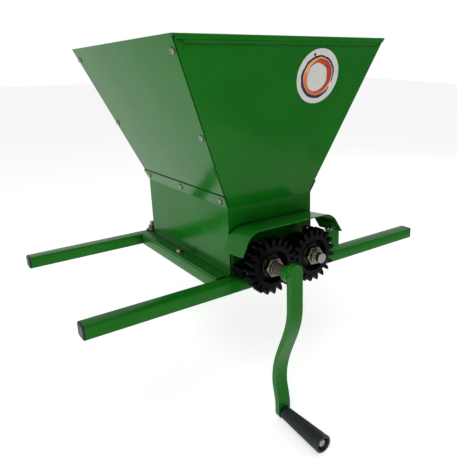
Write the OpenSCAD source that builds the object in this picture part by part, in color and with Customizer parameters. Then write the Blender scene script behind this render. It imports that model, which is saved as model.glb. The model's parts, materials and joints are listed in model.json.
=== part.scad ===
// Hand-cranked grape crusher: a hopper and housing on a rail frame, with two
// geared crusher rollers. +X runs along the rails, the crank faces -Y, +Z is up.
// The origin is midway between the rails, in the plane of their undersides.

/* [Frame] */
// Length of each long rail tube
rail_len = 800; // [700:5:900]
// How far the housing sits left of the rails' middle
rail_shift = 5; // [0:1:10]
// Width of the frame tubes, seen from above
tube_w = 30; // [28:1:34]
// Height of the frame tubes
tube_h = 25; // [22:1:27]
// Wall thickness of the frame tubes
tube_wall = 2; // [1.5:0.5:3]
// Outer corner radius of the frame tubes
tube_r = 3; // [2.5:0.5:4]
// Distance between the centre lines of the two rails
rail_pitch = 386; // [370:2:400]
// Distance from the middle to each cross tube's centre line
cross_x = 122; // [120:1:130]

/* [Hopper and housing] */
// Thickness of the bent sheets
sheet = 2; // [1.5:0.5:2.5]
// Width of the housing over its side sheets
housing_w = 206; // [204:1:210]
// Height of the bend between housing and hopper
neck_z = 160; // [150:1:175]
// Width of the hopper's rim, along the rails
rim_w = 460; // [420:5:500]
// Depth of the hopper's rim, across the rails
rim_d = 500; // [460:5:540]
// Height of the hopper's rim
rim_z = 462; // [430:2:500]
// Length of the turned-out lip at the top of each housing side
lip_len = 27; // [20:1:35]
// Height of the folded band along the front and rear rim
band_h = 14; // [10:1:20]
// Width of the seam flanges inside the hopper's corners
seam_w = 22; // [18:1:26]

/* [Rollers and gears] */
// Distance between the two shafts
shaft_pitch = 100; // [100:1:100]
// Height of the shafts
shaft_z = 52; // [50:1:56]
// Diameter of the shafts
shaft_d = 22; // [20:1:24]
// Outer diameter of the rollers
roller_d = 96; // [90:1:97]
// Number of grooves in each roller
roller_flutes = 10; // [8:1:12]
// Number of teeth on each gear
gear_teeth = 20; // [20:1:20]
// Face width of the gears
gear_w = 24; // [20:1:26]
// Radial play between a shaft and its bush
running_play = 0.04; // [0.02:0.01:0.08]

/* [Crank] */
// Distance from the shaft to the grip
crank_throw = 305; // [260:1:310]
// Width of the crank arm
arm_w = 28; // [24:1:32]
// Thickness of the crank arm
arm_t = 12; // [10:1:14]
// Length of the grip
grip_len = 114; // [100:1:125]
// Diameter of the grip at the arm
grip_d1 = 24; // [22:1:28]
// Diameter of the grip at its free end
grip_d2 = 35; // [30:1:36]

/* [Gear guard] */
// Half width of the guard's flat top
guard_flat = 79; // [70:1:82]
// How far the guard sits right of the housing's middle
guard_shift = 4; // [0:1:6]
// Height of the guard's top at the housing
guard_z = 122; // [120:1:130]
// Upward tilt of the guard towards its front edge
guard_tilt = 5.5; // [3:0.5:8]
// Length of the guard's cheeks below the shoulders
cheek_len = 28; // [24:1:32]

/* [Label] */
// Diameter of the round label
label_d = 100; // [80:1:120]

/* [Hidden] */
$fn = 64;
eps = 0.01;

// Frame: the inner faces of the rails are the outer faces of the housing's walls
rail_y = rail_pitch / 2;
wall_y = rail_y - tube_w / 2;
rail_front_y = -(rail_y + tube_w / 2);
cap_t = 4;
cap_plug = 14;
cap_play = 0.2;

// Housing and hopper: side_x is the inner face of the side sheets, which is also
// the plane line that the hopper's side panels start from
side_x = housing_w / 2 - sheet;
slope_h = rim_z - neck_z;
side_run = rim_w / 2 - side_x;
front_run = rim_d / 2 - wall_y;
side_len = norm([side_run, slope_h]);
front_len = norm([front_run, slope_h]);
side_lean = atan2(side_run, slope_h);
front_lean = atan2(front_run, slope_h);
side_in = sheet / cos(side_lean);
wall_bottom = 5;
foot_x = cross_x + tube_w / 2 - 2;
bend_r = 4;

// Bearing plates, bushes and the stack of parts on each shaft, as distances
// from the middle of the machine along the shaft
plate_t = 5;
plate_w = 200;
plate_top = 106;
plate_out = wall_y + plate_t;
bush_flange_t = 3;
bush_out = plate_out + bush_flange_t;
bush_in = wall_y - 2 * sheet;
bush_d = 30;
bush_flange_d = 40;
roller_half = 164;
hub_back = -(bush_out + 1);
gear_back = rail_front_y - 19;
gear_front = gear_back - gear_w;
recess_r = 32;
recess_t = 12;
washer_t = 3;
washer_d = 41;
washer_front = gear_front + recess_t - washer_t;
nut_t = 13;
nut_af = 34;
nut_boss_t = 6;
nut_boss_d = 29;
nut_front = washer_front - nut_t - nut_boss_t;
stub_d = 20;
stub_end = nut_front - 13;
stub_start = nut_front - 1;
collar_t = 12;
collar_back = bush_out + 1;
shaft_back = collar_back + collar_t + 3;

// Gears: involute teeth, thinned for backlash, with deep roots
gear_module = shaft_pitch / gear_teeth;
pitch_r = shaft_pitch / 2;
tip_r = pitch_r + gear_module;
root_r = 41;
pressure = 20;
base_r = pitch_r * cos(pressure);
backlash = 1.2;
tooth_step = 360 / gear_teeth;
hub_d = 38;

// Crank: the arm's upper part stands out furthest, and an S-bend brings it back
crank_hub_d = 30;
crank_hub_t = 17;
arm_front = nut_front - 44 - arm_t;
arm_top = 10;
arm_set = 48;
arm_return = 9;
bend_top = 62;
bend_bottom = 232;
return_end = 288;
bend_steps = 16;
return_steps = 8;
arm_end = arm_front + arm_set - arm_return;
spindle_d = 8;
spindle_play = 0.05;
grip_gap = 0.5;
grip_start = arm_end - grip_gap;
grip_end = grip_start - grip_len;
grip_pocket = 10;
grip_pocket_d = 25;

// Gear guard
guard_r = 36;
cheek_drop = 60;
guard_len = 67;
guard_flange = 15;
cheek_x = guard_flat + guard_r * cos(90 - cheek_drop);
cheek_z = -guard_r + guard_r * sin(90 - cheek_drop);
post_t = 3;
post_y = -rail_front_y;
post_x1 = 138;
post_x2 = 160;
post_top = 78;
tab_back = 24;
tab_len = 34;

// Label on the front slope
label_x = 70;
label_z = 394;
label_t = 0.6;

// ---- helpers -------------------------------------------------------------

function unit(v) = v / norm(v);
function left_normal(a, b) = let (u = unit(b - a)) [-u[1], u[0]];

// The path moved sideways by d, to the left of its direction, with mitred corners
function offset_path(p, d) = [
    for (i = [0 : len(p) - 1])
        let (
            a = i == 0 ? left_normal(p[0], p[1]) : left_normal(p[i - 1], p[i]),
            b = i == len(p) - 1 ? a : left_normal(p[i], p[i + 1])
        )
        p[i] + (a + b) * d / (1 + a * b)
];
function reversed(p) = [for (i = [len(p) - 1 : -1 : 0]) p[i]];
function arc(c, r, a0, a1, n) = [
    for (i = [0 : n])
        let (a = a0 + (a1 - a0) * i / n)
        c + r * [cos(a), sin(a)]
];

// The path with each inner corner replaced by an arc of radius r in n steps
function filleted(p, r, n = 4) = [
    for (i = [0 : len(p) - 1])
        if (i == 0 || i == len(p) - 1) p[i]
        else let (
            u = unit(p[i] - p[i - 1]),
            v = unit(p[i + 1] - p[i]),
            turn = atan2(u[0] * v[1] - u[1] * v[0], u * v),
            c = p[i] - u * r * tan(abs(turn) / 2) + sign(turn) * r * [-u[1], u[0]],
            a = atan2(u[1], u[0]) - sign(turn) * 90
        ) each arc(c, r, a, a + turn, n)
];

// A bent strip of thickness t along a path
module strip(p, t) {
    polygon(concat(p, reversed(offset_path(p, t))));
}

// A rectangle with round corners, centred on x, standing on y = 0
module round_rect(w, h, r) {
    polygon(concat(
        arc([w / 2 - r, r], r, -90, 0, 4), arc([w / 2 - r, h - r], r, 0, 90, 4),
        arc([r - w / 2, h - r], r, 90, 180, 4), arc([r - w / 2, r], r, 180, 270, 4)
    ));
}

// A flat shape drawn in (x, z), extruded along Y from y0 to y1
module along_y(y0, y1) {
    translate([0, max(y0, y1), 0])
        rotate([90, 0, 0])
            linear_extrude(abs(y1 - y0)) children();
}

// A flat shape drawn in (y, z), extruded along X from x0 to x1
module along_x(x0, x1) {
    translate([min(x0, x1), 0, 0])
        rotate([90, 0, 90])
            linear_extrude(abs(x1 - x0)) children();
}

// A cylinder along Y from y0 to y1, centred on (x, z)
module rod_y(d, y0, y1, x = 0, z = 0, sides = 64) {
    translate([x, max(y0, y1), z])
        rotate([90, 0, 0])
            cylinder(d = d, h = abs(y1 - y0), $fn = sides);
}

// A hexagonal prism along Y, sized across its flats
module hex_y(af, y0, y1, x = 0, z = 0) {
    rod_y(af / cos(30), y0, y1, x, z, 6);
}

module mirrored_x() {
    children();
    mirror([1, 0, 0]) children();
}

module mirrored_y() {
    children();
    mirror([0, 1, 0]) children();
}

// The left hopper panel's own frame: x = 0 is its outer face, -x points outwards
// and z runs up the slope from the bend
module on_left_panel() {
    translate([-side_x, 0, neck_z])
        rotate([0, -side_lean, 0]) children();
}

// The front hopper wall's own frame: y = 0 is its outer face, -y points outwards
module on_front_slope() {
    translate([0, -wall_y, neck_z])
        rotate([front_lean, 0, 0]) children();
}

// The guard's own frame: its top's outer face at the housing, tilted up to the front
module on_guard() {
    translate([guard_shift, -wall_y, guard_z])
        rotate([-guard_tilt, 0, 0]) children();
}

// ---- frame ---------------------------------------------------------------

module tube_x(len) {
    along_x(-len / 2, len / 2)
        difference() {
            round_rect(tube_w, tube_h, tube_r);
            translate([0, tube_wall])
                round_rect(tube_w - 2 * tube_wall, tube_h - 2 * tube_wall, tube_r - tube_wall + 0.2);
        }
}

module rail(y) {
    translate([rail_shift, y, 0]) tube_x(rail_len);
}

module rear_rail_body() {
    difference() {
        rail(rail_y);
        stud_sites() cylinder(d = stud_d, h = 4 * stud_d, center = true);
    }
}

module cross_tube() {
    difference() {
        translate([-cross_x, 0, 0])
            rotate([0, 0, 90]) tube_x(2 * wall_y);
        foot_site() cylinder(d = foot_bolt_d, h = tube_h);
    }
}

module end_cap() {
    lip = 1.2;
    gap = tube_wall + cap_play;
    translate([0, rail_y, 0]) {
        along_x(-rail_len / 2 - cap_t + lip, -rail_len / 2) round_rect(tube_w, tube_h, tube_r);
        along_x(-rail_len / 2 - cap_t, -rail_len / 2 - cap_t + lip)
            translate([0, lip]) round_rect(tube_w - 2 * lip, tube_h - 2 * lip, tube_r);
        along_x(-rail_len / 2, cap_plug - rail_len / 2)
            translate([0, gap]) round_rect(tube_w - 2 * gap, tube_h - 2 * gap, tube_r - gap + 1);
    }
}

// ---- housing and hopper --------------------------------------------------

side_path = filleted([
    [-foot_x, tube_h], [-side_x, tube_h], [-side_x, neck_z],
    [-side_x, neck_z] + lip_len * [-sin(side_lean), cos(side_lean)]
], bend_r);
foot_bolt_d = 8;
stud_d = 10;
stud_x = 101;
screw_d = 6;

module foot_site() {
    translate([-cross_x, 0, tube_h / 2]) children();
}

module stud_sites() {
    mirrored_x() translate([-stud_x, rail_y, tube_h]) children();
}

// Sites of the seam screws and lip screws on the left side, axis along -x
module seam_sites() {
    on_left_panel() mirrored_y()
        for (f = [0.46, 0.92])
            translate([0, wall_y + front_run * f - seam_w * 0.6, side_len * f]) children();
}

module lip_sites() {
    on_left_panel()
        for (y = [-1, 0, 1] * (wall_y - 16))
            translate([0, y, lip_len / 2 + 1]) children();
}

// A drill through the sheets, along x in the panel's frame
module drill() {
    translate([-10, 0, 0]) rotate([0, 90, 0]) cylinder(d = screw_d, h = 20);
}

module housing_side() {
    difference() {
        intersection() {
            along_y(-wall_y * 1.2, wall_y * 1.2) strip(side_path, sheet);
            along_x(-rim_w, 0) side_outline(0);
        }
        foot_site() cylinder(d = foot_bolt_d, h = tube_h);
        lip_sites() drill();
    }
}

// Outline of a side, in (y, z): as wide as the housing, then widening up the hopper
module side_outline(bottom) {
    polygon([
        [-wall_y, bottom], [-wall_y, neck_z], [-rim_d / 2, rim_z],
        [rim_d / 2, rim_z], [wall_y, neck_z], [wall_y, bottom]
    ]);
}

module hopper_panel() {
    start = 2;
    difference() {
        intersection() {
            along_y(-rim_d, rim_d)
                polygon([
                    [-side_x, neck_z], [-rim_w / 2, rim_z],
                    [-rim_w / 2 + side_in, rim_z], [-side_x + side_in, neck_z]
                ]);
            along_x(-rim_w, 0) side_outline(neck_z + start);
        }
        seam_sites() drill();
        lip_sites() drill();
    }
}

// Outline of the front sheet, in (x, z): between the cross tubes, then between the side sheets
module front_outline() {
    low_x = cross_x - tube_w / 2;
    polygon([
        [-low_x, wall_bottom], [-low_x, tube_h], [-side_x, tube_h],
        [-side_x, neck_z], [-side_x + side_in, neck_z],
        [-rim_w / 2 + side_in, rim_z], [rim_w / 2 - side_in, rim_z],
        [side_x - side_in, neck_z], [side_x, neck_z],
        [side_x, tube_h], [low_x, tube_h], [low_x, wall_bottom]
    ]);
}

module seam_flange() {
    inner = side_in * 2;
    low = neck_z + 32;
    high = rim_z - 4;
    intersection() {
        along_y(-rim_d, 0)
            polygon([
                [-side_x + side_in, neck_z], [-rim_w / 2 + side_in, rim_z],
                [-rim_w / 2 + inner, rim_z], [-side_x + inner, neck_z]
            ]);
        along_x(-rim_w, 0)
            intersection() {
                polygon([
                    [-wall_y + eps, neck_z], [-rim_d / 2 + eps, rim_z],
                    [-rim_d / 2 + seam_w, rim_z], [-wall_y + seam_w, neck_z]
                ]);
                translate([-rim_d, low]) square([rim_d, high - low]);
            }
    }
}

module hopper_sheet(low_bolts) {
    wall = filleted([[-wall_y, wall_bottom], [-wall_y, neck_z], [-rim_d / 2, rim_z]], bend_r);
    band_inset = 14;
    difference() {
        union() {
            intersection() {
                along_x(-rim_w / 2, rim_w / 2) strip(wall, -sheet);
                along_y(-rim_d, rim_d) front_outline();
            }
            on_front_slope()
                translate([0, -sheet, front_len - band_h])
                    along_y(0, sheet + eps)
                        polygon([
                            [-rim_w / 2 + band_inset + band_h / 2, 0], [-rim_w / 2 + band_inset, band_h],
                            [rim_w / 2 - band_inset, band_h], [rim_w / 2 - band_inset - band_h / 2, 0]
                        ]);
            mirrored_x() seam_flange();
        }
        mirrored_x() seam_sites() drill();
        shaft_sites() rod_y(bush_d, -wall_y - 5, -wall_y + 5);
        plate_bolt_sites(low_bolts) rod_y(plate_bolt_d, -wall_y - 5, -wall_y + 5);
    }
}

module pan_screw(shank) {
    head_r = 6;
    head_t = 3.5;
    socket = 4;
    rotate([0, -90, 0])
        difference() {
            union() {
                cylinder(r = head_r, h = head_t * 0.4);
                translate([0, 0, head_t * 0.4]) cylinder(r1 = head_r, r2 = head_r * 0.65, h = head_t * 0.6);
                translate([0, 0, -shank]) cylinder(d = screw_d, h = shank);
            }
            translate([0, 0, head_t - 1.6]) cylinder(d = socket, h = 3, $fn = 6);
        }
}

// ---- bearing plates, bushes and bolts --------------------------------------

plate_bolt_d = 8;
rivet_d = 4;

module shaft_sites() {
    mirrored_x() translate([-shaft_pitch / 2, 0, shaft_z]) children();
}

// The lower pair differs from front to rear: the front pair also holds the block
front_bolts = [88, 41];
rear_bolts = [78, 42];
high_bolts = [88, plate_top - 24];
block_out = -rail_front_y + 12;

module plate_bolt_sites(low) {
    mirrored_x() {
        translate([-low[0], 0, low[1]]) children();
        translate([-high_bolts[0], 0, high_bolts[1]]) children();
    }
}

module guard_rivet_sites() {
    for (x = [-70, 0, 70]) translate([x, 0, guard_z - guard_flange + 6]) children();
}

module bearing_plate(low_bolts) {
    difference() {
        translate([-plate_w / 2, -plate_out, tube_h]) cube([plate_w, plate_t, plate_top - tube_h]);
        shaft_sites() rod_y(bush_d, -plate_out - 1, 0);
        plate_bolt_sites(low_bolts) rod_y(plate_bolt_d, -plate_out - 1, 0);
    }
}

// A moulded block in front of the plate, round both bushes, on the rail's top
module bearing_block() {
    front = -block_out;
    bar_low = 34;
    bar_h = 14;
    bar_half = plate_w / 2 + 2;
    boss_d = 58;
    boss_t = 15;
    groove = 1.5;
    difference() {
        union() {
            translate([-bar_half, front, bar_low]) cube([2 * bar_half, -plate_out - front, bar_h]);
            shaft_sites() rod_y(boss_d, -plate_out - boss_t, -plate_out);
        }
        translate([-plate_w, front - 1, 0]) cube([2 * plate_w, plate_t * 10, tube_h]);
        shaft_sites() rod_y(bush_flange_d + 2, front - 1, 0);
        shaft_sites() rod_y(boss_d, front - 1, -plate_out - boss_t);
        plate_bolt_sites(front_bolts) rod_y(plate_bolt_d, front - 1, 0);
        for (z = [4, 8.5]) translate([0, front - 1, bar_low + z]) {
            mirrored_x() translate([-bar_half - 1, 0, 0]) cube([1 + groove, plate_t * 10, 2]);
            translate([-bar_half, 0, 0]) cube([2 * bar_half, 1 + groove, 2]);
        }
    }
}

// The rear plate is an angle: its foot lies on the rear rail
module rear_angle() {
    foot_t = 4;
    foot_w = 224;
    mirror([0, 1, 0]) bearing_plate(rear_bolts);
    difference() {
        translate([-foot_w / 2, wall_y, tube_h]) cube([foot_w, tube_w - 2, foot_t]);
        translate([-plate_w / 2, wall_y - 1, tube_h - 1]) cube([plate_w, plate_t + 1, foot_t + 2]);
        stud_sites() cylinder(d = stud_d, h = 4 * stud_d, center = true);
    }
}

module plate_bolt(seat) {
    head_t = 5.5;
    nut = 6.5;
    inside = wall_y - sheet;
    rod_y(plate_bolt_d, -seat, -inside);
    hex_y(13, -seat - head_t, -seat);
    hex_y(13, -inside, -inside + nut);
}

module stud() {
    foot_t = 4;
    top = 22;
    translate([0, 0, -tube_h + 2]) cylinder(d = stud_d, h = tube_h + top);
    translate([0, 0, foot_t]) cylinder(d = 19, h = 2);
    translate([0, 0, foot_t + 2]) cylinder(d = 17 / cos(30), h = 8, $fn = 6);
}

module foot_bolt() {
    head_t = 5;
    translate([-cross_x, 0, tube_h - 10]) cylinder(d = foot_bolt_d, h = 10 + sheet);
    translate([-cross_x, 0, tube_h + sheet]) {
        cylinder(d = 16, h = 1.5);
        cylinder(d = 13 / cos(30), h = 1.5 + head_t, $fn = 6);
    }
}

module bush() {
    difference() {
        union() {
            rod_y(bush_d, -plate_out, -bush_in);
            rod_y(bush_flange_d, -bush_out, -plate_out);
        }
        rod_y(shaft_d + 2 * running_play, -bush_out - 1, 0);
    }
}

// ---- gear guard --------------------------------------------------------------

function guard_path() = let (
    cheek_end = [cheek_x, cheek_z] + cheek_len * [cos(cheek_drop), -sin(cheek_drop)],
    right = concat(arc([guard_flat, -guard_r], guard_r, 90, 90 - cheek_drop, 8), [cheek_end])
) concat(reversed([for (q = right) [-q[0], q[1]]]), right);

// Site of the bolt through the right cheek, axis along its outward normal (+x)
module cheek_site() {
    on_guard()
        translate([cheek_x, -tab_back - tab_len + 11, cheek_z])
            rotate([0, cheek_drop - 90, 0])
                translate([0, 0, 9 - cheek_len]) children();
}

module guard() {
    difference() {
        union() {
            on_guard() along_y(-guard_len, 0) strip(guard_path(), -sheet);
            translate([guard_shift - guard_flat, -wall_y - sheet, guard_z - guard_flange])
                cube([2 * guard_flat, sheet, guard_flange - 0.5]);
        }
        translate([-200, -wall_y, 0]) cube([400, 50, 200]);
        cheek_site() rotate([0, 90, 0]) cylinder(d = screw_d, h = 20, center = true);
        guard_rivet_sites() rod_y(rivet_d, -wall_y - 5, -wall_y + 5);
    }
}

// The (x, z) of a point on the right cheek where it crosses the post's plane: s runs
// down the cheek from its shoulder, and depth is measured in from its outer face
function on_cheek(s, depth) = let (
    x = cheek_x + s * cos(cheek_drop) - depth * sin(cheek_drop),
    z = cheek_z - s * sin(cheek_drop) - depth * cos(cheek_drop),
    y = (wall_y - post_y - z * sin(guard_tilt)) / cos(guard_tilt)
) [guard_shift + x, guard_z - y * sin(guard_tilt) + z * cos(guard_tilt)];

// A plate on the rail's front edge, with a tab bent forwards to lie inside the cheek
module post() {
    mid = sheet + post_t / 2;
    corner = 6;
    tab_low = on_cheek(cheek_len - 3, mid);
    tab_high = on_cheek(cheek_len - 25, mid);
    difference() {
        union() {
            along_y(-post_y, -post_y + post_t)
                polygon([
                    [post_x1, tube_h], [post_x2, tube_h], [post_x2, post_top - corner],
                    [post_x2 - corner, post_top], [tab_low[0] + corner, post_top],
                    tab_low, tab_high, [post_x1 - 10, post_top - 18], [post_x1, post_top - 30]
                ]);
            on_guard()
                translate([cheek_x, -tab_back, cheek_z])
                    rotate([0, cheek_drop - 90, 0])
                        translate([-sheet - post_t, -tab_len, 3 - cheek_len]) cube([post_t, tab_len, 22]);
        }
        cheek_site() rotate([0, 90, 0]) cylinder(d = screw_d, h = 20, center = true);
    }
}

module rivet() {
    rod_y(rivet_d, -wall_y - sheet, -wall_y + sheet);
    rod_y(2 * rivet_d, -wall_y - sheet - 1.5, -wall_y - sheet);
}

module cheek_bolt() {
    stack = sheet + post_t;
    cheek_site() {
        rotate([0, 90, 0]) cylinder(d = 10 / cos(30), h = 4, $fn = 6);
        translate([-stack - 9, 0, 0]) rotate([0, 90, 0]) cylinder(d = screw_d, h = stack + 9);
        translate([-stack - 5, 0, 0]) rotate([0, 90, 0]) cylinder(d = 10 / cos(30), h = 5, $fn = 6);
    }
}

// ---- shafts, rollers and gears -------------------------------------------------

module shaft(front) {
    rod_y(shaft_d, front, shaft_back);
}

module roller() {
    lightening_r = 28;
    difference() {
        rod_y(roller_d, -roller_half, roller_half, sides = 96);
        rod_y(shaft_d, -rail_pitch, rail_pitch);
        for (i = [0 : roller_flutes - 1])
            rotate([0, i * 360 / roller_flutes, 0])
                rod_y(14, -rail_pitch, rail_pitch, x = roller_d / 2 + 2.5, sides = 32);
        for (i = [0 : 5])
            rotate([0, (i + 0.5) * 60, 0]) rod_y(18, -rail_pitch, rail_pitch, x = lightening_r, sides = 32);
    }
}

// Involute: the angle at which the flank crosses radius r, from its start at the base circle
function involute_angle(r) =
    let (t = sqrt(max(0, (r / base_r) * (r / base_r) - 1)))
    t * 180 / PI - atan(t);
function tooth_half(r) =
    tooth_step / 4 - backlash / pitch_r * 45 / PI
    + involute_angle(pitch_r) - involute_angle(max(r, base_r));
flank = [root_r, 44, base_r, 48.4, pitch_r, 51.7, 53.4, tip_r];
function tooth(a) = concat(
    [for (r = flank) r * [cos(a - tooth_half(r)), sin(a - tooth_half(r))]],
    [for (r = reversed(flank)) r * [cos(a + tooth_half(r)), sin(a + tooth_half(r))]]
);

module gear(phase) {
    step_d = 51;
    step_t = 3;
    difference() {
        union() {
            along_y(gear_front, gear_back)
                polygon([for (i = [0 : gear_teeth - 1]) each tooth(phase + i * tooth_step)]);
            rod_y(hub_d, gear_back - 1, hub_back);
        }
        rod_y(shaft_d, gear_front - 1, hub_back + 1);
        rod_y(2 * recess_r, gear_front - 1, gear_front + recess_t);
        difference() {
            rod_y(2 * recess_r, gear_front, gear_front + recess_t + step_t);
            rod_y(step_d, gear_front - 1, gear_front + recess_t + step_t + 1);
        }
        difference() {
            rod_y(2 * recess_r, gear_back - recess_t / 2, gear_back + 1);
            rod_y(hub_d, gear_back - recess_t, gear_back + 2);
        }
    }
}

module washer() {
    difference() {
        rod_y(washer_d, washer_front, washer_front + washer_t);
        rod_y(shaft_d, washer_front - 1, washer_front + washer_t + 1);
    }
}

module nut() {
    boss_end = nut_front + nut_boss_t;
    difference() {
        union() {
            hex_y(nut_af, boss_end, boss_end + nut_t);
            rod_y(nut_boss_d, nut_front, boss_end);
        }
        rod_y(shaft_d, nut_front - 1, washer_front + 1);
    }
}

module collar() {
    difference() {
        rod_y(38, collar_back, collar_back + collar_t);
        rod_y(shaft_d, collar_back - 1, collar_back + collar_t + 1);
    }
}

// ---- crank ---------------------------------------------------------------------

set_screw_d = 8;
set_screw_y = arm_front + arm_t + crank_hub_t / 2;

// The arm's front line in (y, z), from its lower end up: a short bend forwards, then
// the long S-bend
function arm_line() = concat(
    [[arm_end, -crank_throw - arm_w]],
    [
        for (i = [0 : return_steps - 1])
            let (t = i / return_steps)
            [arm_end + arm_return * (1 - cos(180 * t)) / 2, -return_end + (return_end - bend_bottom) * t]
    ],
    [
        for (i = [0 : bend_steps])
            let (t = i / bend_steps)
            [arm_front + arm_set * (1 + cos(180 * t)) / 2, -bend_bottom + (bend_bottom - bend_top) * t]
    ],
    [[arm_front, arm_w * 2]]
);

module arm_outline() {
    translate([0, arm_top]) circle(d = arm_w);
    translate([0, -crank_throw]) circle(d = arm_w);
    translate([-arm_w / 2, -crank_throw]) square([arm_w, crank_throw + arm_top]);
}

module crank() {
    back = arm_front + arm_t;
    translate([0, 0, shaft_z])
        difference() {
            union() {
                intersection() {
                    along_x(-arm_w, arm_w) strip(arm_line(), -arm_t);
                    along_y(-rail_pitch * 2, 0) arm_outline();
                }
                rod_y(crank_hub_d, back - eps, back + crank_hub_t);
            }
            rod_y(shaft_d, back, 0);
            rod_y(spindle_d, -rail_pitch * 2, 0, z = -crank_throw);
            translate([0, set_screw_y, 0]) rotate([0, 90, 0]) cylinder(d = set_screw_d, h = 30);
        }
}

module set_screw() {
    translate([shaft_d / 2, set_screw_y, shaft_z])
        rotate([0, 90, 0])
            difference() {
                cylinder(d = set_screw_d, h = 6);
                translate([0, 0, 3]) cylinder(d = 4.6, h = 4, $fn = 6);
            }
}

module spindle() {
    head_t = 6;
    back = arm_end + arm_t;
    head_back = grip_end + grip_pocket - 0.3;
    translate([0, 0, shaft_z - crank_throw]) {
        rod_y(spindle_d, head_back, back + 9);
        hex_y(13, head_back - head_t, head_back);
        hex_y(13, back, back + 6.5);
    }
}

module grip() {
    round_r = 2;
    translate([0, grip_start, shaft_z - crank_throw])
        rotate([90, 0, 0])
            difference() {
                rotate_extrude()
                    polygon([
                        [0, 0], [grip_d1 / 2, 0], [grip_d1 / 2 + 1, 6], [grip_d1 / 2 + 0.5, 12],
                        [grip_d2 / 2, grip_len - 10], [grip_d2 / 2, grip_len - round_r * 1.5],
                        [grip_d2 / 2 - round_r, grip_len], [0, grip_len]
                    ]);
                translate([0, 0, -1]) cylinder(d = spindle_d + 2 * spindle_play, h = grip_len + 2);
                translate([0, 0, grip_len - grip_pocket]) cylinder(d = grip_pocket_d, h = grip_pocket + 1);
            }
}

module on_drive() {
    translate([-shaft_pitch / 2, 0, 0]) children();
}

module on_driven() {
    translate([shaft_pitch / 2, 0, 0]) children();
}

// ---- sub-parts --------------------------------------------------------------------

module front_rail() { color("seagreen") rail(-rail_y); }
module rear_rail() { color("seagreen") rear_rail_body(); }
module left_cross_tube() { color("seagreen") cross_tube(); }
module right_cross_tube() { color("seagreen") mirror([1, 0, 0]) cross_tube(); }
module rail_end_caps() {
    color("dimgray")
        translate([rail_shift, 0, 0]) mirrored_x() mirrored_y() end_cap();
}
module left_housing_side() { color("forestgreen") housing_side(); }
module right_housing_side() { color("forestgreen") mirror([1, 0, 0]) housing_side(); }
module rear_hopper_sheet() { color("darkgreen") mirror([0, 1, 0]) hopper_sheet(rear_bolts); }
module left_hopper_panel() { color("olivedrab") hopper_panel(); }
module right_hopper_panel() { color("olivedrab") mirror([1, 0, 0]) hopper_panel(); }

module front_hopper_sheet() {
    color("darkgreen")
        difference() {
            hopper_sheet(front_bolts);
            guard_rivet_sites() rod_y(rivet_d, -wall_y - 5, -wall_y + 5);
        }
}

module hopper_screws() {
    color("silver")
        mirrored_x() {
            seam_sites() pan_screw(8);
            lip_sites() translate([-sheet, 0, 0]) pan_screw(10);
        }
}

module foot_bolts() { color("silver") mirrored_x() foot_bolt(); }
module front_bearing_plate() { color("green") bearing_plate(front_bolts); }
module rear_bearing_plate() { color("green") rear_angle(); }
module front_bearing_block() { color("black") bearing_block(); }

module bearing_plate_bolts() {
    color("silver") {
        mirrored_x() {
            translate([-front_bolts[0], 0, front_bolts[1]]) plate_bolt(block_out);
            translate([-high_bolts[0], 0, high_bolts[1]]) plate_bolt(plate_out);
        }
        mirror([0, 1, 0]) plate_bolt_sites(rear_bolts) plate_bolt(plate_out);
    }
}

module rear_plate_studs() { color("gray") stud_sites() stud(); }
module shaft_bushes() { color("tan") mirrored_y() shaft_sites() bush(); }
module gear_guard() { color("limegreen") guard(); }
module guard_post() { color("limegreen") post(); }
module guard_rivets() { color("silver") guard_rivet_sites() rivet(); }
module guard_bolt() { color("silver") cheek_bolt(); }

module round_label() {
    up = (label_z - neck_z) / cos(front_lean);
    color("white") on_front_slope() rod_y(label_d, -label_t, 0, x = label_x, z = up, sides = 96);
}

module drive_shaft() { color("silver") on_drive() translate([0, 0, shaft_z]) shaft(arm_front + arm_t); }
module drive_roller() { color("gainsboro") on_drive() translate([0, 0, shaft_z]) roller(); }
module drive_gear() { color("black") on_drive() translate([0, 0, shaft_z]) gear(0); }
module drive_gear_washer() { color("silver") on_drive() translate([0, 0, shaft_z]) washer(); }
module drive_gear_nut() { color("silver") on_drive() translate([0, 0, shaft_z]) nut(); }
module drive_shaft_collar() { color("silver") on_drive() translate([0, 0, shaft_z]) collar(); }
module crank_arm() { color("green") on_drive() crank(); }
module crank_set_screw() { color("black") on_drive() set_screw(); }
module grip_spindle() { color("silver") on_drive() spindle(); }
module crank_grip() { color("darkslategray") on_drive() grip(); }

module driven_shaft() {
    color("silver")
        on_driven() translate([0, 0, shaft_z]) {
            shaft(stub_start);
            rod_y(stub_d, stub_end, stub_start);
        }
}

module driven_roller() {
    color("gainsboro")
        on_driven() translate([0, 0, shaft_z]) rotate([0, 180 / roller_flutes, 0]) roller();
}

module driven_gear() { color("black") on_driven() translate([0, 0, shaft_z]) gear(tooth_step / 2); }
module driven_gear_washer() { color("silver") on_driven() translate([0, 0, shaft_z]) washer(); }
module driven_gear_nut() { color("silver") on_driven() translate([0, 0, shaft_z]) nut(); }
module driven_shaft_collar() { color("silver") on_driven() translate([0, 0, shaft_z]) collar(); }

front_rail();
rear_rail();
left_cross_tube();
right_cross_tube();
rail_end_caps();
left_housing_side();
right_housing_side();
front_hopper_sheet();
rear_hopper_sheet();
left_hopper_panel();
right_hopper_panel();
hopper_screws();
foot_bolts();
front_bearing_plate();
rear_bearing_plate();
front_bearing_block();
bearing_plate_bolts();
rear_plate_studs();
shaft_bushes();
gear_guard();
guard_post();
guard_rivets();
guard_bolt();
round_label();
drive_shaft();
drive_roller();
drive_gear();
drive_gear_washer();
drive_gear_nut();
drive_shaft_collar();
crank_arm();
crank_set_screw();
grip_spindle();
crank_grip();
driven_shaft();
driven_roller();
driven_gear();
driven_gear_washer();
driven_gear_nut();
driven_shaft_collar();
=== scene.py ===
import json
import math

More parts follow.
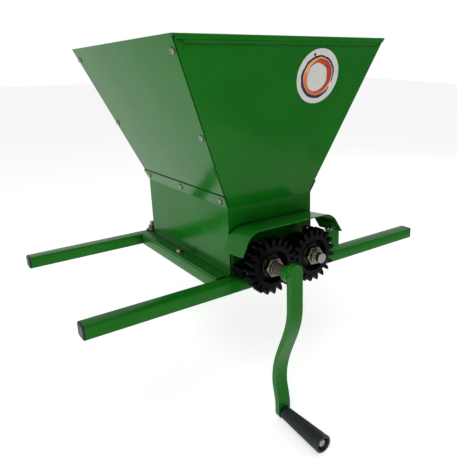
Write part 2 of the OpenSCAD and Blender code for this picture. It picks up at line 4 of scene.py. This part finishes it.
import bmesh
import bpy
from mathutils import Matrix, Vector


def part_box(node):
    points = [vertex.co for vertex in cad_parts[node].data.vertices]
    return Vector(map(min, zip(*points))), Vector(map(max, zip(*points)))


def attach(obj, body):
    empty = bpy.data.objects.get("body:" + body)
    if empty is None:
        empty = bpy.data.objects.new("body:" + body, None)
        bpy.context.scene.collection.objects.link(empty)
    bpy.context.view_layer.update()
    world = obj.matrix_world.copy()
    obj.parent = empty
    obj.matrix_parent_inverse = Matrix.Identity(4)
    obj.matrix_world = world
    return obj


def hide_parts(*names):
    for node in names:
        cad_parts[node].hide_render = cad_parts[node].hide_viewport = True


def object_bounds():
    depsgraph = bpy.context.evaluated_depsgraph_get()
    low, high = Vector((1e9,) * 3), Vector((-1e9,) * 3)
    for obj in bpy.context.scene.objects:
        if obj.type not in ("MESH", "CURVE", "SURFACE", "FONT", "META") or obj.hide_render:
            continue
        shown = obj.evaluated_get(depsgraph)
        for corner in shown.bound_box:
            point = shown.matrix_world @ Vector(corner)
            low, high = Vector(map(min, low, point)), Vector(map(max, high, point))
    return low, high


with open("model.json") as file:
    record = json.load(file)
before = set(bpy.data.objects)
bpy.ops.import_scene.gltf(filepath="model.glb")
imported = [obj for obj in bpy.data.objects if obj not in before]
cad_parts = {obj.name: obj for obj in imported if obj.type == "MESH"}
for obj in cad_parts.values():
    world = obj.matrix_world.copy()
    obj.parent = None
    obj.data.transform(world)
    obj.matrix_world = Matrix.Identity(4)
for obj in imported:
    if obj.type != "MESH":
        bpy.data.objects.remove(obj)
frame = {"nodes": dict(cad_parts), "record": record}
cad_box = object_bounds()
NODES = frame["nodes"]
MM = 0.001
TAU = 2 * math.pi
# How far the hopper's sides lean inwards for each unit down
RIM_SLOPE = 0.44

# ---- camera, floor and light ----------------------------------------------------
# Place in metres, angles in radians, and focal length and shift in picture widths
CAM_AT = Vector((-0.5695, -0.9389, 0.4055))
CAM_AZ = 0.6147
CAM_EL = 0.292
CAM_ROLL = -0.0245
CAM_FOCAL = 1.07812
CAM_SHIFT = (-0.0656, -0.0199)
SENSOR = 36


def add_camera():
    level = math.cos(CAM_EL)
    forward = Vector((math.sin(CAM_AZ) * level, math.cos(CAM_AZ) * level, -math.sin(CAM_EL)))
    side = forward.cross(Vector((0, 0, 1))).normalized()
    up = side.cross(forward)
    right = math.cos(CAM_ROLL) * side + math.sin(CAM_ROLL) * up
    top = -math.sin(CAM_ROLL) * side + math.cos(CAM_ROLL) * up
    data = bpy.data.cameras.new("camera")
    data.sensor_width = SENSOR
    data.lens = SENSOR * CAM_FOCAL
    data.shift_x, data.shift_y = CAM_SHIFT
    data.clip_start = 0.01
    data.clip_end = 100
    cam = bpy.data.objects.new("camera", data)
    cam.matrix_world = Matrix((right, top, -forward)).transposed().to_4x4()
    cam.location = CAM_AT
    bpy.context.scene.collection.objects.link(cam)
    bpy.context.scene.camera = cam


def area_light(name, at, target, size, power, color=(1, 1, 1)):
    data = bpy.data.lights.new(name, "AREA")
    data.shape = "RECTANGLE"
    data.size, data.size_y = size
    data.energy = power
    data.color = color
    obj = bpy.data.objects.new(name, data)
    obj.location = at
    obj.rotation_euler = (Vector(target) - Vector(at)).to_track_quat("-Z", "Y").to_euler()
    bpy.context.scene.collection.objects.link(obj)


# ---- material building -------------------------------------------------------------
class Shader:
    """A material's node tree, with short calls to add and link nodes."""

    def __init__(self, name):
        self.mat = bpy.data.materials.new(name)
        self.mat.use_nodes = True
        self.tree = self.mat.node_tree
        self.bsdf = self.tree.nodes["Principled BSDF"]
        self.coords = self.tree.nodes.new("ShaderNodeTexCoord").outputs["Object"]

    def node(self, kind, props=None, **inputs):
        n = self.tree.nodes.new("ShaderNode" + kind)
        for key, value in (props or {}).items():
            setattr(n, key, value)
        for key, value in inputs.items():
            self.put(value, n.inputs[int(key[1:])] if key[1:].isdigit() else n.inputs[key.replace("_", " ")])
        return n

    def put(self, value, socket):
        if isinstance(value, bpy.types.NodeSocket):
            self.tree.links.new(value, socket)
        else:
            socket.default_value = value

    def math(self, op, a, b=0.0, c=0.0, clamp=False):
        return self.node("Math", {"operation": op, "use_clamp": clamp}, i0=a, i1=b, i2=c).outputs[0]

    def noise(self, scale, detail=3.0, rough=0.5, stretch=None, distortion=0.0):
        at = self.coords
        if stretch:
            at = self.node("Mapping", None, Vector=at, Scale=stretch).outputs[0]
        return self.node("TexNoise", None, Vector=at, Scale=scale, Detail=detail, Roughness=rough,
                         Distortion=distortion).outputs["Fac"]

    def remap(self, value, lo, hi, to_lo=0.0, to_hi=1.0):
        return self.node("MapRange", {"clamp": True}, Value=value, From_Min=lo, From_Max=hi,
                         To_Min=to_lo, To_Max=to_hi).outputs[0]

    def mix(self, fac, a, b):
        n = self.node("Mix", {"data_type": "RGBA"})
        self.put(fac, n.inputs[0])
        self.put((*a, 1) if isinstance(a, tuple) else a, n.inputs[6])
        self.put((*b, 1) if isinstance(b, tuple) else b, n.inputs[7])
        return n.outputs[2]

    def edges(self, radius, samples=4):
        """About 1 along sharp edges, and 0 on flat faces."""
        bevel = self.node("Bevel", {"samples": samples}, Radius=radius).outputs[0]
        normal = self.tree.nodes.new("ShaderNodeNewGeometry").outputs["Normal"]
        dot = self.node("VectorMath", {"operation": "DOT_PRODUCT"}, i0=bevel, i1=normal).outputs["Value"]
        return self.remap(dot, 0.999, 0.93)

    def painted_shade(self, reach, color, shadow):
        """Painted shade: the color, turned darker by the shadow amount where surfaces meet in a corner, and
        under overhanging parts when the reach is longer.
        """
        open_air = self.node("AmbientOcclusion", {"samples": 8}, Distance=reach).outputs["AO"]
        return self.mix(self.remap(open_air, 0.35, 0.95, shadow, 0.0), color, (0.0015, 0.008, 0.002))

    def bump(self, *layers):
        """Each layer is (height, strength, distance)."""
        normal = None
        for height, strength, distance in layers:
            n = self.node("Bump", None, Strength=strength, Distance=distance, Height=height)
            if normal is not None:
                self.put(normal, n.inputs["Normal"])
            normal = n.outputs[0]
        self.put(normal, self.bsdf.inputs["Normal"])

    def set(self, **inputs):
        for key, value in inputs.items():
            if isinstance(value, tuple) and len(value) == 3:
                value = (*value, 1)
            self.put(value, self.bsdf.inputs[key.replace("_", " ")])
        return self.mat


def green_paint(name, deep, light, rough=0.16):
    """Glossy paint with soft mottling, worn edges, scuffs, and painted shade in corners and under overhanging
    parts.
    """
    s = Shader(name)
    mottle = s.noise(9, 4, 0.55)
    speck = s.noise(420, 2, 0.6)
    grime = s.noise(38, 6, 0.7, distortion=0.6)
    color = s.mix(s.remap(mottle, 0.3, 0.72), deep, light)
    color = s.mix(s.remap(speck, 0.62, 0.78, 0.0, 0.10), color, (0.10, 0.30, 0.09))
    wear = s.math("MULTIPLY", s.edges(0.0009), s.remap(s.noise(160, 4, 0.7), 0.50, 0.62, 0.05, 0.75))
    color = s.mix(wear, color, (0.17, 0.30, 0.14))
    scuff = s.remap(s.noise(26, 8, 0.75, stretch=(1, 1, 5)), 0.60, 0.74)
    r = s.math("ADD", s.remap(grime, 0.35, 0.75, rough - 0.05, rough + 0.09), s.math("MULTIPLY", scuff, 0.10))
    # painted shade: near-black green in tight corners (6 mm reach), and under the guard and other overhangs
    # (50 mm reach)
    color = s.painted_shade(0.006, color, 0.85)
    color = s.painted_shade(0.050, color, 0.60)
    s.bump((s.noise(7, 2), 0.5, 0.0016), (s.noise(260, 2, 0.5), 0.07, 0.00010),
           (s.noise(900, 1), 0.08, 0.00005))
    return s.set(Base_Color=color, Roughness=r, IOR=1.26, Specular_Tint=(0.90, 0.95, 0.72))


def steel(name, base, rough, stretch, dark=0.5):
    """Bare metal: stretch sets the direction of its scratches, and dark the shade of its stains."""
    s = Shader(name)
    cloud = s.noise(55, 5, 0.6)
    scratch = s.noise(700, 4, 0.7, stretch=stretch)
    stain = s.remap(s.noise(120, 6, 0.75, distortion=0.8), 0.50, 0.70)
    worn = tuple(v * dark for v in base)
    color = s.mix(s.remap(cloud, 0.3, 0.7), base, tuple(v * 0.86 for v in base))
    color = s.mix(s.math("MULTIPLY", stain, 0.55), color, worn)
    # lighter edges: partly edge wear, partly a painted highlight
    color = s.mix(s.math("MULTIPLY", s.edges(0.0005), 0.7), color, tuple(min(1, v * 1.25) for v in base))
    r = s.math("ADD", s.remap(scratch, 0.3, 0.7, rough - 0.07, rough + 0.09), s.math("MULTIPLY", stain, 0.14))
    s.bump((scratch, 0.22, 0.00012), (s.noise(1400, 2), 0.08, 0.00004))
    return s.set(Base_Color=color, Roughness=r, Metallic=1.0)


def plastic(name, base, pale, rough, ior):
    """Moulded plastic with a little pale dust, and paler edges that are partly edge wear and partly a painted
    highlight.
    """
    s = Shader(name)
    cloud = s.noise(30, 4, 0.6)
    dust = s.remap(s.noise(95, 7, 0.75), 0.50, 0.78)
    color = s.mix(s.remap(cloud, 0.3, 0.7), base, tuple(v * 1.35 for v in base))
    color = s.mix(s.math("MULTIPLY", dust, 0.5), color, pale)
    # paler edges: partly edge wear, partly a painted highlight
    color = s.mix(s.math("MULTIPLY", s.edges(0.0007), 0.55), color, pale)
    r = s.remap(s.noise(60, 5, 0.6), 0.3, 0.7, rough - 0.08, rough + 0.10)
    s.bump((s.noise(18, 2), 0.25, 0.0005), (s.noise(1100, 2, 0.6), 0.30, 0.00006))
    return s.set(Base_Color=color, Roughness=r, IOR=ior)


def label_print(name, centre, lean, radius):
    """White vinyl with a loose painted ring in red, orange and dark blue, and no lettering."""
    s = Shader(name)

    def length(x, y):
        return s.math("SQRT", s.math("ADD", s.math("MULTIPLY", x, x), s.math("MULTIPLY", y, y)))

    at = s.node("SeparateXYZ", None, i0=s.coords).outputs
    u = s.math("MULTIPLY", s.math("SUBTRACT", at[0], centre.x), 1 / radius)
    v = s.math("MULTIPLY", s.math("SUBTRACT", at[2], centre.z), 1 / (radius * math.cos(lean)))
    wobble = s.math("MULTIPLY", s.math("SUBTRACT", s.noise(42, 3), 0.5), 0.16)
    r = s.math("ADD", length(u, v), wobble)
    angle = s.math("ARCTAN2", v, u)
    rough_edge = s.math("MULTIPLY", s.math("SUBTRACT", s.noise(330, 4, 0.7), 0.5), 0.05)
    r = s.math("ADD", r, rough_edge)

    def stroke(middle, half, swing, phase, gap):
        """A ring of changing width: widest at the angle phase, and gone where gap is passed."""
        wave = s.math("COSINE", s.math("SUBTRACT", angle, phase))
        width = s.math("ADD", half, s.math("MULTIPLY", wave, swing))
        off = s.math("ABSOLUTE", s.math("SUBTRACT", r, middle))
        inside = s.math("LESS_THAN", off, width)
        return s.math("MULTIPLY", inside, s.math("GREATER_THAN", wave, gap))

    color = s.mix(s.remap(s.noise(50, 4), 0.3, 0.7), (0.62, 0.61, 0.58), (0.68, 0.67, 0.64))
    color = s.mix(stroke(0.735, 0.024, 0.026, 2.6, -0.30), color, (0.012, 0.014, 0.045))
    color = s.mix(stroke(0.750, 0.030, 0.045, -2.1, 0.05), color, (0.014, 0.018, 0.075))
    dot_u, dot_v = s.math("ADD", u, 0.31), s.math("SUBTRACT", v, 0.78)
    color = s.mix(s.math("LESS_THAN", length(dot_u, dot_v), 0.055), color, (0.012, 0.014, 0.045))
    color = s.mix(stroke(0.735, 0.012, 0.030, 0.9, 0.35), color, (0.012, 0.014, 0.055))
    color = s.mix(stroke(0.655, 0.036, 0.016, 3.3, -0.97), color, (0.85, 0.34, 0.05))
    color = s.mix(stroke(0.555, 0.052, 0.072, 0.35, -0.55), color, (0.46, 0.035, 0.012))
    color = s.mix(stroke(0.62, 0.020, 0.034, -1.9, 0.05), color, (0.62, 0.10, 0.02))
    color = s.mix(stroke(0.54, 0.010, 0.012, 2.4, 0.20), color, (0.60, 0.07, 0.02))
    s.bump((s.noise(600, 2), 0.1, 0.00005))
    return s.set(Base_Color=color, Roughness=s.remap(s.noise(80, 4), 0.3, 0.7, 0.28, 0.42), IOR=1.46)


def floor_material():
    s = Shader("floor")
    color = s.mix(s.remap(s.noise(0.8, 3), 0.3, 0.7), (0.93, 0.93, 0.93), (0.95, 0.95, 0.95))
    s.bump((s.noise(40, 3), 0.02, 0.0005))
    return s.set(Base_Color=color, Roughness=0.85, IOR=1.2, Emission_Color=(1.0, 1.0, 1.0),
                 Emission_Strength=0.42)


def fade(tree, value, start, stop, end, interpolation="LINEAR"):
    """1 where the value is below start, and falling to end where it reaches stop."""
    ramp = tree.nodes.new("ShaderNodeMapRange")
    ramp.interpolation_type = interpolation
    for key, number in (("From Min", start), ("From Max", stop), ("To Min", 1.0), ("To Max", end)):
        ramp.inputs[key].default_value = number
    tree.links.new(value, ramp.inputs["Value"])
    return ramp.outputs[0]


def add_stage():
    """A pale floor under and behind the object, in a studio that is darker towards the front right."""
    low = cad_box[0][2] - 0.002
    corners = [(-9, -1.6), (0.1, -1.6), (0.9, -0.7), (9, -0.2), (40, 40), (-40, 40), (-40, -1.6)]
    mesh = bpy.data.meshes.new("floor")
    mesh.from_pydata([(x, y, low) for x, y in corners], [], [tuple(range(len(corners)))])
    floor = bpy.data.objects.new("floor", mesh)
    bpy.context.scene.collection.objects.link(floor)
    mesh.materials.append(floor_material())
    world = bpy.data.worlds.new("world")
    world.use_nodes = True
    tree = world.node_tree
    back = tree.nodes["Background"]
    at = tree.nodes.new("ShaderNodeTexCoord").outputs["Generated"]
    toward = tree.nodes.new("ShaderNodeVectorMath")
    toward.operation = "DOT_PRODUCT"
    toward.inputs[1].default_value = Vector((0.62, -0.76, -0.18)).normalized()
    tree.links.new(at, toward.inputs[0])
    height = tree.nodes.new("ShaderNodeSeparateXYZ")
    tree.links.new(at, height.inputs[0])
    both = tree.nodes.new("ShaderNodeMath")
    both.operation = "MULTIPLY"
    sideways = fade(tree, toward.outputs["Value"], 0.15, 0.85, 0.42, "SMOOTHSTEP")
    upwards = fade(tree, height.outputs["Z"], 0.15, 0.32, 0.55)
    tree.links.new(sideways, both.inputs[0])
    tree.links.new(upwards, both.inputs[1])
    tree.links.new(both.outputs[0], back.inputs["Strength"])
    back.inputs["Color"].default_value = (1, 1, 1, 1)
    bpy.context.scene.world = world
    bpy.context.scene.view_settings.view_transform = "Standard"
    area_light("key", (-1.5, -1.7, 2.3), (0, 0, 0.2), (1.5, 1.5), 30)
    area_light("rim", (2.2, 0.6, 1.5), (0, -0.1, 0.1), (0.7, 1.6), 9)


# ---- shaping tools ------------------------------------------------------------------
def new_object(name, bm, material, body, smooth=35):
    mesh = bpy.data.meshes.new(name)
    bmesh.ops.recalc_face_normals(bm, faces=bm.faces)
    bm.to_mesh(mesh)
    bm.free()
    mesh.materials.append(material)
    obj = bpy.data.objects.new(name, mesh)
    bpy.context.scene.collection.objects.link(obj)
    shade(mesh, smooth)
    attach(obj, body)
    return obj


def shade(mesh, degrees):
    """Smooth shading, with the edges that turn more than that left sharp."""
    for poly in mesh.polygons:
        poly.use_smooth = True
    mesh.set_sharp_from_angle(angle=math.radians(degrees))


def clean_copy(node):
    """The node's mesh, welded, with its flat faces merged into single polygons."""
    bm = bmesh.new()
    bm.from_mesh(NODES[node].data)
    bmesh.ops.remove_doubles(bm, verts=bm.verts, dist=2e-6)
    bmesh.ops.dissolve_limit(bm, angle_limit=math.radians(0.4), verts=bm.verts, edges=bm.edges)
    return bm


def set_back(bm, gap):
    """Trims the slanted ends of a hopper panel, so that the flange behind shows as a dark seam."""
    low = min(v.co.z for v in bm.verts)
    high = max(v.co.z for v in bm.verts)
    wide = {z: max(abs(v.co.y) for v in bm.verts if abs(v.co.z - z) < 4 * MM) for z in (low, high)}
    for v in bm.verts:
        t = (v.co.z - low) / (high - low)
        if abs(v.co.y) > wide[low] + (wide[high] - wide[low]) * t - 2.5 * MM:
            v.co.y -= math.copysign(gap, v.co.y)


def stand_for(obj, node):
    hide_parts(node)
    return obj


def rounded(node, width, segments=2, angle=28, smooth=30, trim=0.0):
    """A piece with the node's shape and rounded edges, which stands for the node."""
    bm = clean_copy(node)
    if trim:
        set_back(bm, trim)
    obj = new_object(node + "_piece", bm, MATS[SLOT[node]], BODY[node], smooth)
    mod = obj.modifiers.new("rounded", "BEVEL")
    mod.width = width
    mod.segments = segments
    mod.limit_method = "ANGLE"
    mod.angle_limit = math.radians(angle)
    mod.use_clamp_overlap = True
    mod.harden_normals = True
    return stand_for(obj, node)


def turned(name, axis, rings, steps, material, body, smooth=35):
    """A closed shape turned about a line along Y.

    axis is the line's (x, z); each ring is (y, r), with r a radius or a function of the angle."""
    bm = bmesh.new()
    loops = []
    for y, r in rings:
        loop = []
        for i in range(steps):
            a = TAU * i / steps
            d = r(a) if callable(r) else r
            loop.append(bm.verts.new((axis[0] + d * math.cos(a), y, axis[1] + d * math.sin(a))))
        loops.append(loop)
    for near, far in zip(loops, loops[1:] + loops[:1]):
        for i in range(steps):
            k = (i + 1) % steps
            bm.faces.new((near[i], near[k], far[k], far[i]))
    return new_object(name, bm, material, body, smooth)


def rim_hem(node):
    """The folded edge along the rim of a front or rear sheet: a strip just proud of the outer face."""
    bm = bmesh.new()
    bm.from_mesh(NODES[node].data)
    high = max(v.co.z for v in bm.verts)
    rim = [v.co.copy() for v in bm.verts if v.co.z > high - 0.5 * MM]
    bm.free()
    side = math.copysign(1, rim[0].y)
    outer = max(abs(p.y) for p in rim)
    left, right = min(p.x for p in rim), max(p.x for p in rim)
    low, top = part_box("round_label")
    lean = math.atan2(top.y - low.y, top.z - low.z)
    down = Vector((0, -side * abs(math.sin(lean)), -math.cos(lean)))
    out = Vector((0, side * math.cos(lean), -abs(math.sin(lean))))
    bm = bmesh.new()
    start = Vector((0, side * outer, high - 0.3 * MM))
    taper = 8 * MM * math.cos(lean) * RIM_SLOPE
    rows = []
    for depth, proud in ((0, -0.6), (0, 1.1), (7.2 * MM, 1.1), (8 * MM, 0.9), (8 * MM, -0.6)):
        at = start + down * depth + out * proud * MM
        pull = taper * depth / (8 * MM)
        ends = (left + 1 * MM + pull, right - 1 * MM - pull)
        rows.append([bm.verts.new((x, at.y, at.z)) for x in ends])
    for a, b in zip(rows, rows[1:] + rows[:1]):
        bm.faces.new((a[0], a[1], b[1], b[0]))
    for end in (0, 1):
        bm.faces.new([row[end] for row in rows])
    obj = new_object(node + "_hem", bm, PAINT, "frame", 30)
    mod = obj.modifiers.new("rounded", "BEVEL")
    mod.width = 0.35 * MM
    mod.segments = 2
    return obj


def middle(node):
    low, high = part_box(node)
    return (low + high) / 2


# ---- pieces that are shaped afresh ------------------------------------------------------
def fluted_grip():
    """A tapered grip with shallow flutes, and a deep recess in its free end."""
    low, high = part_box("crank_grip")
    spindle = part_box("grip_spindle")
    centre = middle("crank_grip")
    big = (high.x - low.x) / 2
    small = big * 0.70
    flutes = 22
    bore = 4.1 * MM
    pocket = 12.3 * MM
    length = high.y - low.y

    def wall(t, depth):
        r = small + (big - small) * min(1, max(0, t) ** 0.9)
        return lambda a: r - depth * (0.5 - 0.5 * math.cos(flutes * a)) ** 0.7

    rings = [(high.y, small - 2.2 * MM), (high.y, small - 1.2 * MM), (high.y - 0.4 * MM, small - 0.4 * MM),
             (high.y - 1.4 * MM, small)]
    steps = 44
    for k in range(steps + 1):
        t = 0.03 + 0.93 * k / steps
        fade = min(1, (t - 0.03) / 0.05, (0.96 - t) / 0.03)
        rings.append((high.y - t * length, wall(t, 0.95 * MM * max(0, fade))))
    end = low.y
    rings += [(end + 1.6 * MM, big), (end + 0.7 * MM, big - 0.35 * MM), (end + 0.1 * MM, big - 1.1 * MM),
              (end, big - 2.0 * MM), (end, pocket + 0.9 * MM), (end + 0.3 * MM, pocket + 0.3 * MM),
              (end + 0.9 * MM, pocket), (end + 9.2 * MM, pocket), (end + 9.8 * MM, pocket - 0.6 * MM),
              (end + 9.8 * MM, bore + 1 * MM), (end + 10.1 * MM, bore), (high.y - 0.5 * MM, bore),
              (high.y, bore + 0.5 * MM)]
    obj = turned("crank_grip_piece", (centre.x, centre.z), rings, flutes * 8, GRIP, BODY["crank_grip"], 50)
    return stand_for(obj, "crank_grip")


def hexagon(flats, limit=None):
    """A hexagon's radius at an angle, with a corner on the X axis, cut off at a limit."""
    def r(a):
        turn = (a % (TAU / 6)) - TAU / 12
        edge = flats / 2 / math.cos(turn)
        return edge if limit is None else min(edge, limit)
    return r


def chamfered_nut(node):
    """A hex nut with chamfered corners at both ends, and a round boss in front."""
    low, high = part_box(node)
    c = middle(node)
    flats = high.z - low.z
    bore = 11 * MM
    boss_r, boss_t = 14.5 * MM, 6 * MM
    face = low.y + boss_t
    rings = [(low.y + 0.8 * MM, bore), (low.y, bore + 0.9 * MM), (low.y, boss_r - 0.9 * MM),
             (low.y + 0.3 * MM, boss_r - 0.3 * MM), (low.y + 0.9 * MM, boss_r), (face, boss_r)]
    for k in range(7):
        d = 0.62 * MM * k
        rings.append((face + d * 0.58, hexagon(flats, flats / 2 * 0.955 + d)))
    back = high.y
    for k in range(6, -1, -1):
        d = 0.5 * MM * k
        rings.append((back - d * 0.58, hexagon(flats, flats / 2 * 0.985 + d)))
    rings += [(back, bore + 0.6 * MM), (back - 0.6 * MM, bore)]
    # the nut gets the darker copy of zinc steel: painted shade and painted dark reflection
    return stand_for(turned(node + "_piece", (c.x, c.z), rings, 96, SHADED_NUT_STEEL, BODY[node], 24), node)


def threaded_shaft():
    """The drive shaft, with its thread in front of the gear's nut."""
    low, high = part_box("drive_shaft")
    c = middle("drive_shaft")
    r = (high.x - low.x) / 2
    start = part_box("drive_gear_nut")[0].y + 4 * MM
    stop = start - 27 * MM
    rings = [(high.y, r * 0.2), (high.y, r - 1.2 * MM), (high.y - 1.2 * MM, r), (start, r)]
    pitch = 2 * MM
    y = start
    while y - pitch > stop:
        rings += [(y - 0.25 * pitch, r - 0.85 * MM), (y - 0.40 * pitch, r - 0.85 * MM),
                  (y - 0.80 * pitch, r - 0.05 * MM), (y - 0.95 * pitch, r - 0.05 * MM)]
        y -= pitch
    rings += [(y - 0.5 * pitch, r), (low.y + 1 * MM, r), (low.y, r - 1 * MM), (low.y, r * 0.2)]
    # the thread gets the darker copy of turned steel: painted shade
    obj = turned("drive_shaft_piece", (c.x, c.z), rings, 64, SHADED_THREAD_STEEL, BODY["drive_shaft"], 30)
    return stand_for(obj, "drive_shaft")


SLOT = {s["node"]: s["material_slot"] for s in frame["record"]["subparts"]}
BODY = {node: body for body, members in frame["record"]["behaviour"]["bodies"].items() for node in members}

PAINT = green_paint("green_paint", (0.003, 0.122, 0.005), (0.006, 0.148, 0.009))
ZINC = steel("zinc_steel", (0.33, 0.31, 0.265), 0.27, (1, 1, 1), 0.35)
# a darker copy of turned steel for the drive shaft's thread: painted shade
SHADED_THREAD_STEEL = steel("turned_steel_thread_painted_shade", (0.095, 0.088, 0.072), 0.34, (1, 1, 1), 0.40)
# a darker copy of zinc steel for the gear nuts: painted shade and painted dark reflection
SHADED_NUT_STEEL = steel("zinc_steel_nut_painted_dark", (0.23, 0.212, 0.172), 0.26, (1, 1, 1), 0.35)
TURNED = steel("turned_steel", (0.36, 0.345, 0.30), 0.26, (1, 14, 1), 0.40)
ALLOY = steel("roller_alloy", (0.66, 0.66, 0.65), 0.42, (1, 1, 1), 0.75)
BRONZE = steel("bush_bronze", (0.60, 0.42, 0.20), 0.33, (1, 1, 1))
OXIDE = steel("black_oxide", (0.09, 0.09, 0.095), 0.40, (1, 1, 1))
GEAR = plastic("gear_plastic", (0.0009, 0.0011, 0.0014), (0.0045, 0.0052, 0.0065), 0.36, 1.18)
CAP = plastic("cap_plastic", (0.010, 0.011, 0.012), (0.030, 0.032, 0.035), 0.45, 1.35)
GRIP = plastic("grip_plastic", (0.007, 0.009, 0.012), (0.020, 0.023, 0.029), 0.42, 1.36)
MATS = {"green_paint": PAINT, "zinc_steel": ZINC, "turned_steel": TURNED, "roller_alloy": ALLOY,
        "gear_plastic": GEAR, "cap_plastic": CAP, "grip_plastic": GRIP, "bush_bronze": BRONZE,
        "black_oxide": OXIDE}

label_low, label_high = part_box("round_label")
label_lean = math.atan2(label_high.y - label_low.y, label_high.z - label_low.z)
label_radius = (label_high.x - label_low.x) / 2
MATS["label_vinyl"] = label_print("label_vinyl", (label_low + label_high) / 2, label_lean, label_radius)

for name, obj in NODES.items():
    obj.data.materials.clear()
    obj.data.materials.append(MATS[SLOT[name]])

add_camera()
add_stage()

for name in ("front_hopper_sheet", "rear_hopper_sheet", "left_housing_side", "right_housing_side",
             "gear_guard", "guard_post"):
    rounded(name, 0.5 * MM)
for name in ("left_hopper_panel", "right_hopper_panel"):
    rounded(name, 0.5 * MM, trim=2.4 * MM)
for name in ("front_hopper_sheet", "rear_hopper_sheet"):
    rim_hem(name)
for name in ("front_bearing_plate", "rear_bearing_plate", "front_rail", "rear_rail", "left_cross_tube",
             "right_cross_tube"):
    rounded(name, 0.6 * MM)
rounded("crank_arm", 2.6 * MM, segments=4, angle=35)
rounded("rail_end_caps", 0.9 * MM, segments=3)
for name in ("drive_gear", "driven_gear"):
    rounded(name, 0.9 * MM, segments=2, angle=32)
rounded("front_bearing_block", 0.8 * MM)
for name in ("drive_roller", "driven_roller"):
    rounded(name, 0.8 * MM)
for name in ("drive_gear_washer", "driven_gear_washer", "drive_shaft_collar", "driven_shaft_collar",
             "shaft_bushes"):
    rounded(name, 0.4 * MM)
for name in ("hopper_screws", "foot_bolts", "bearing_plate_bolts", "rear_plate_studs", "guard_rivets",
             "guard_bolt", "grip_spindle", "crank_set_screw"):
    rounded(name, 0.45 * MM)
rounded("driven_shaft", 1.2 * MM, segments=3)
for name in ("drive_gear_nut", "driven_gear_nut"):
    chamfered_nut(name)
threaded_shaft()
fluted_grip()
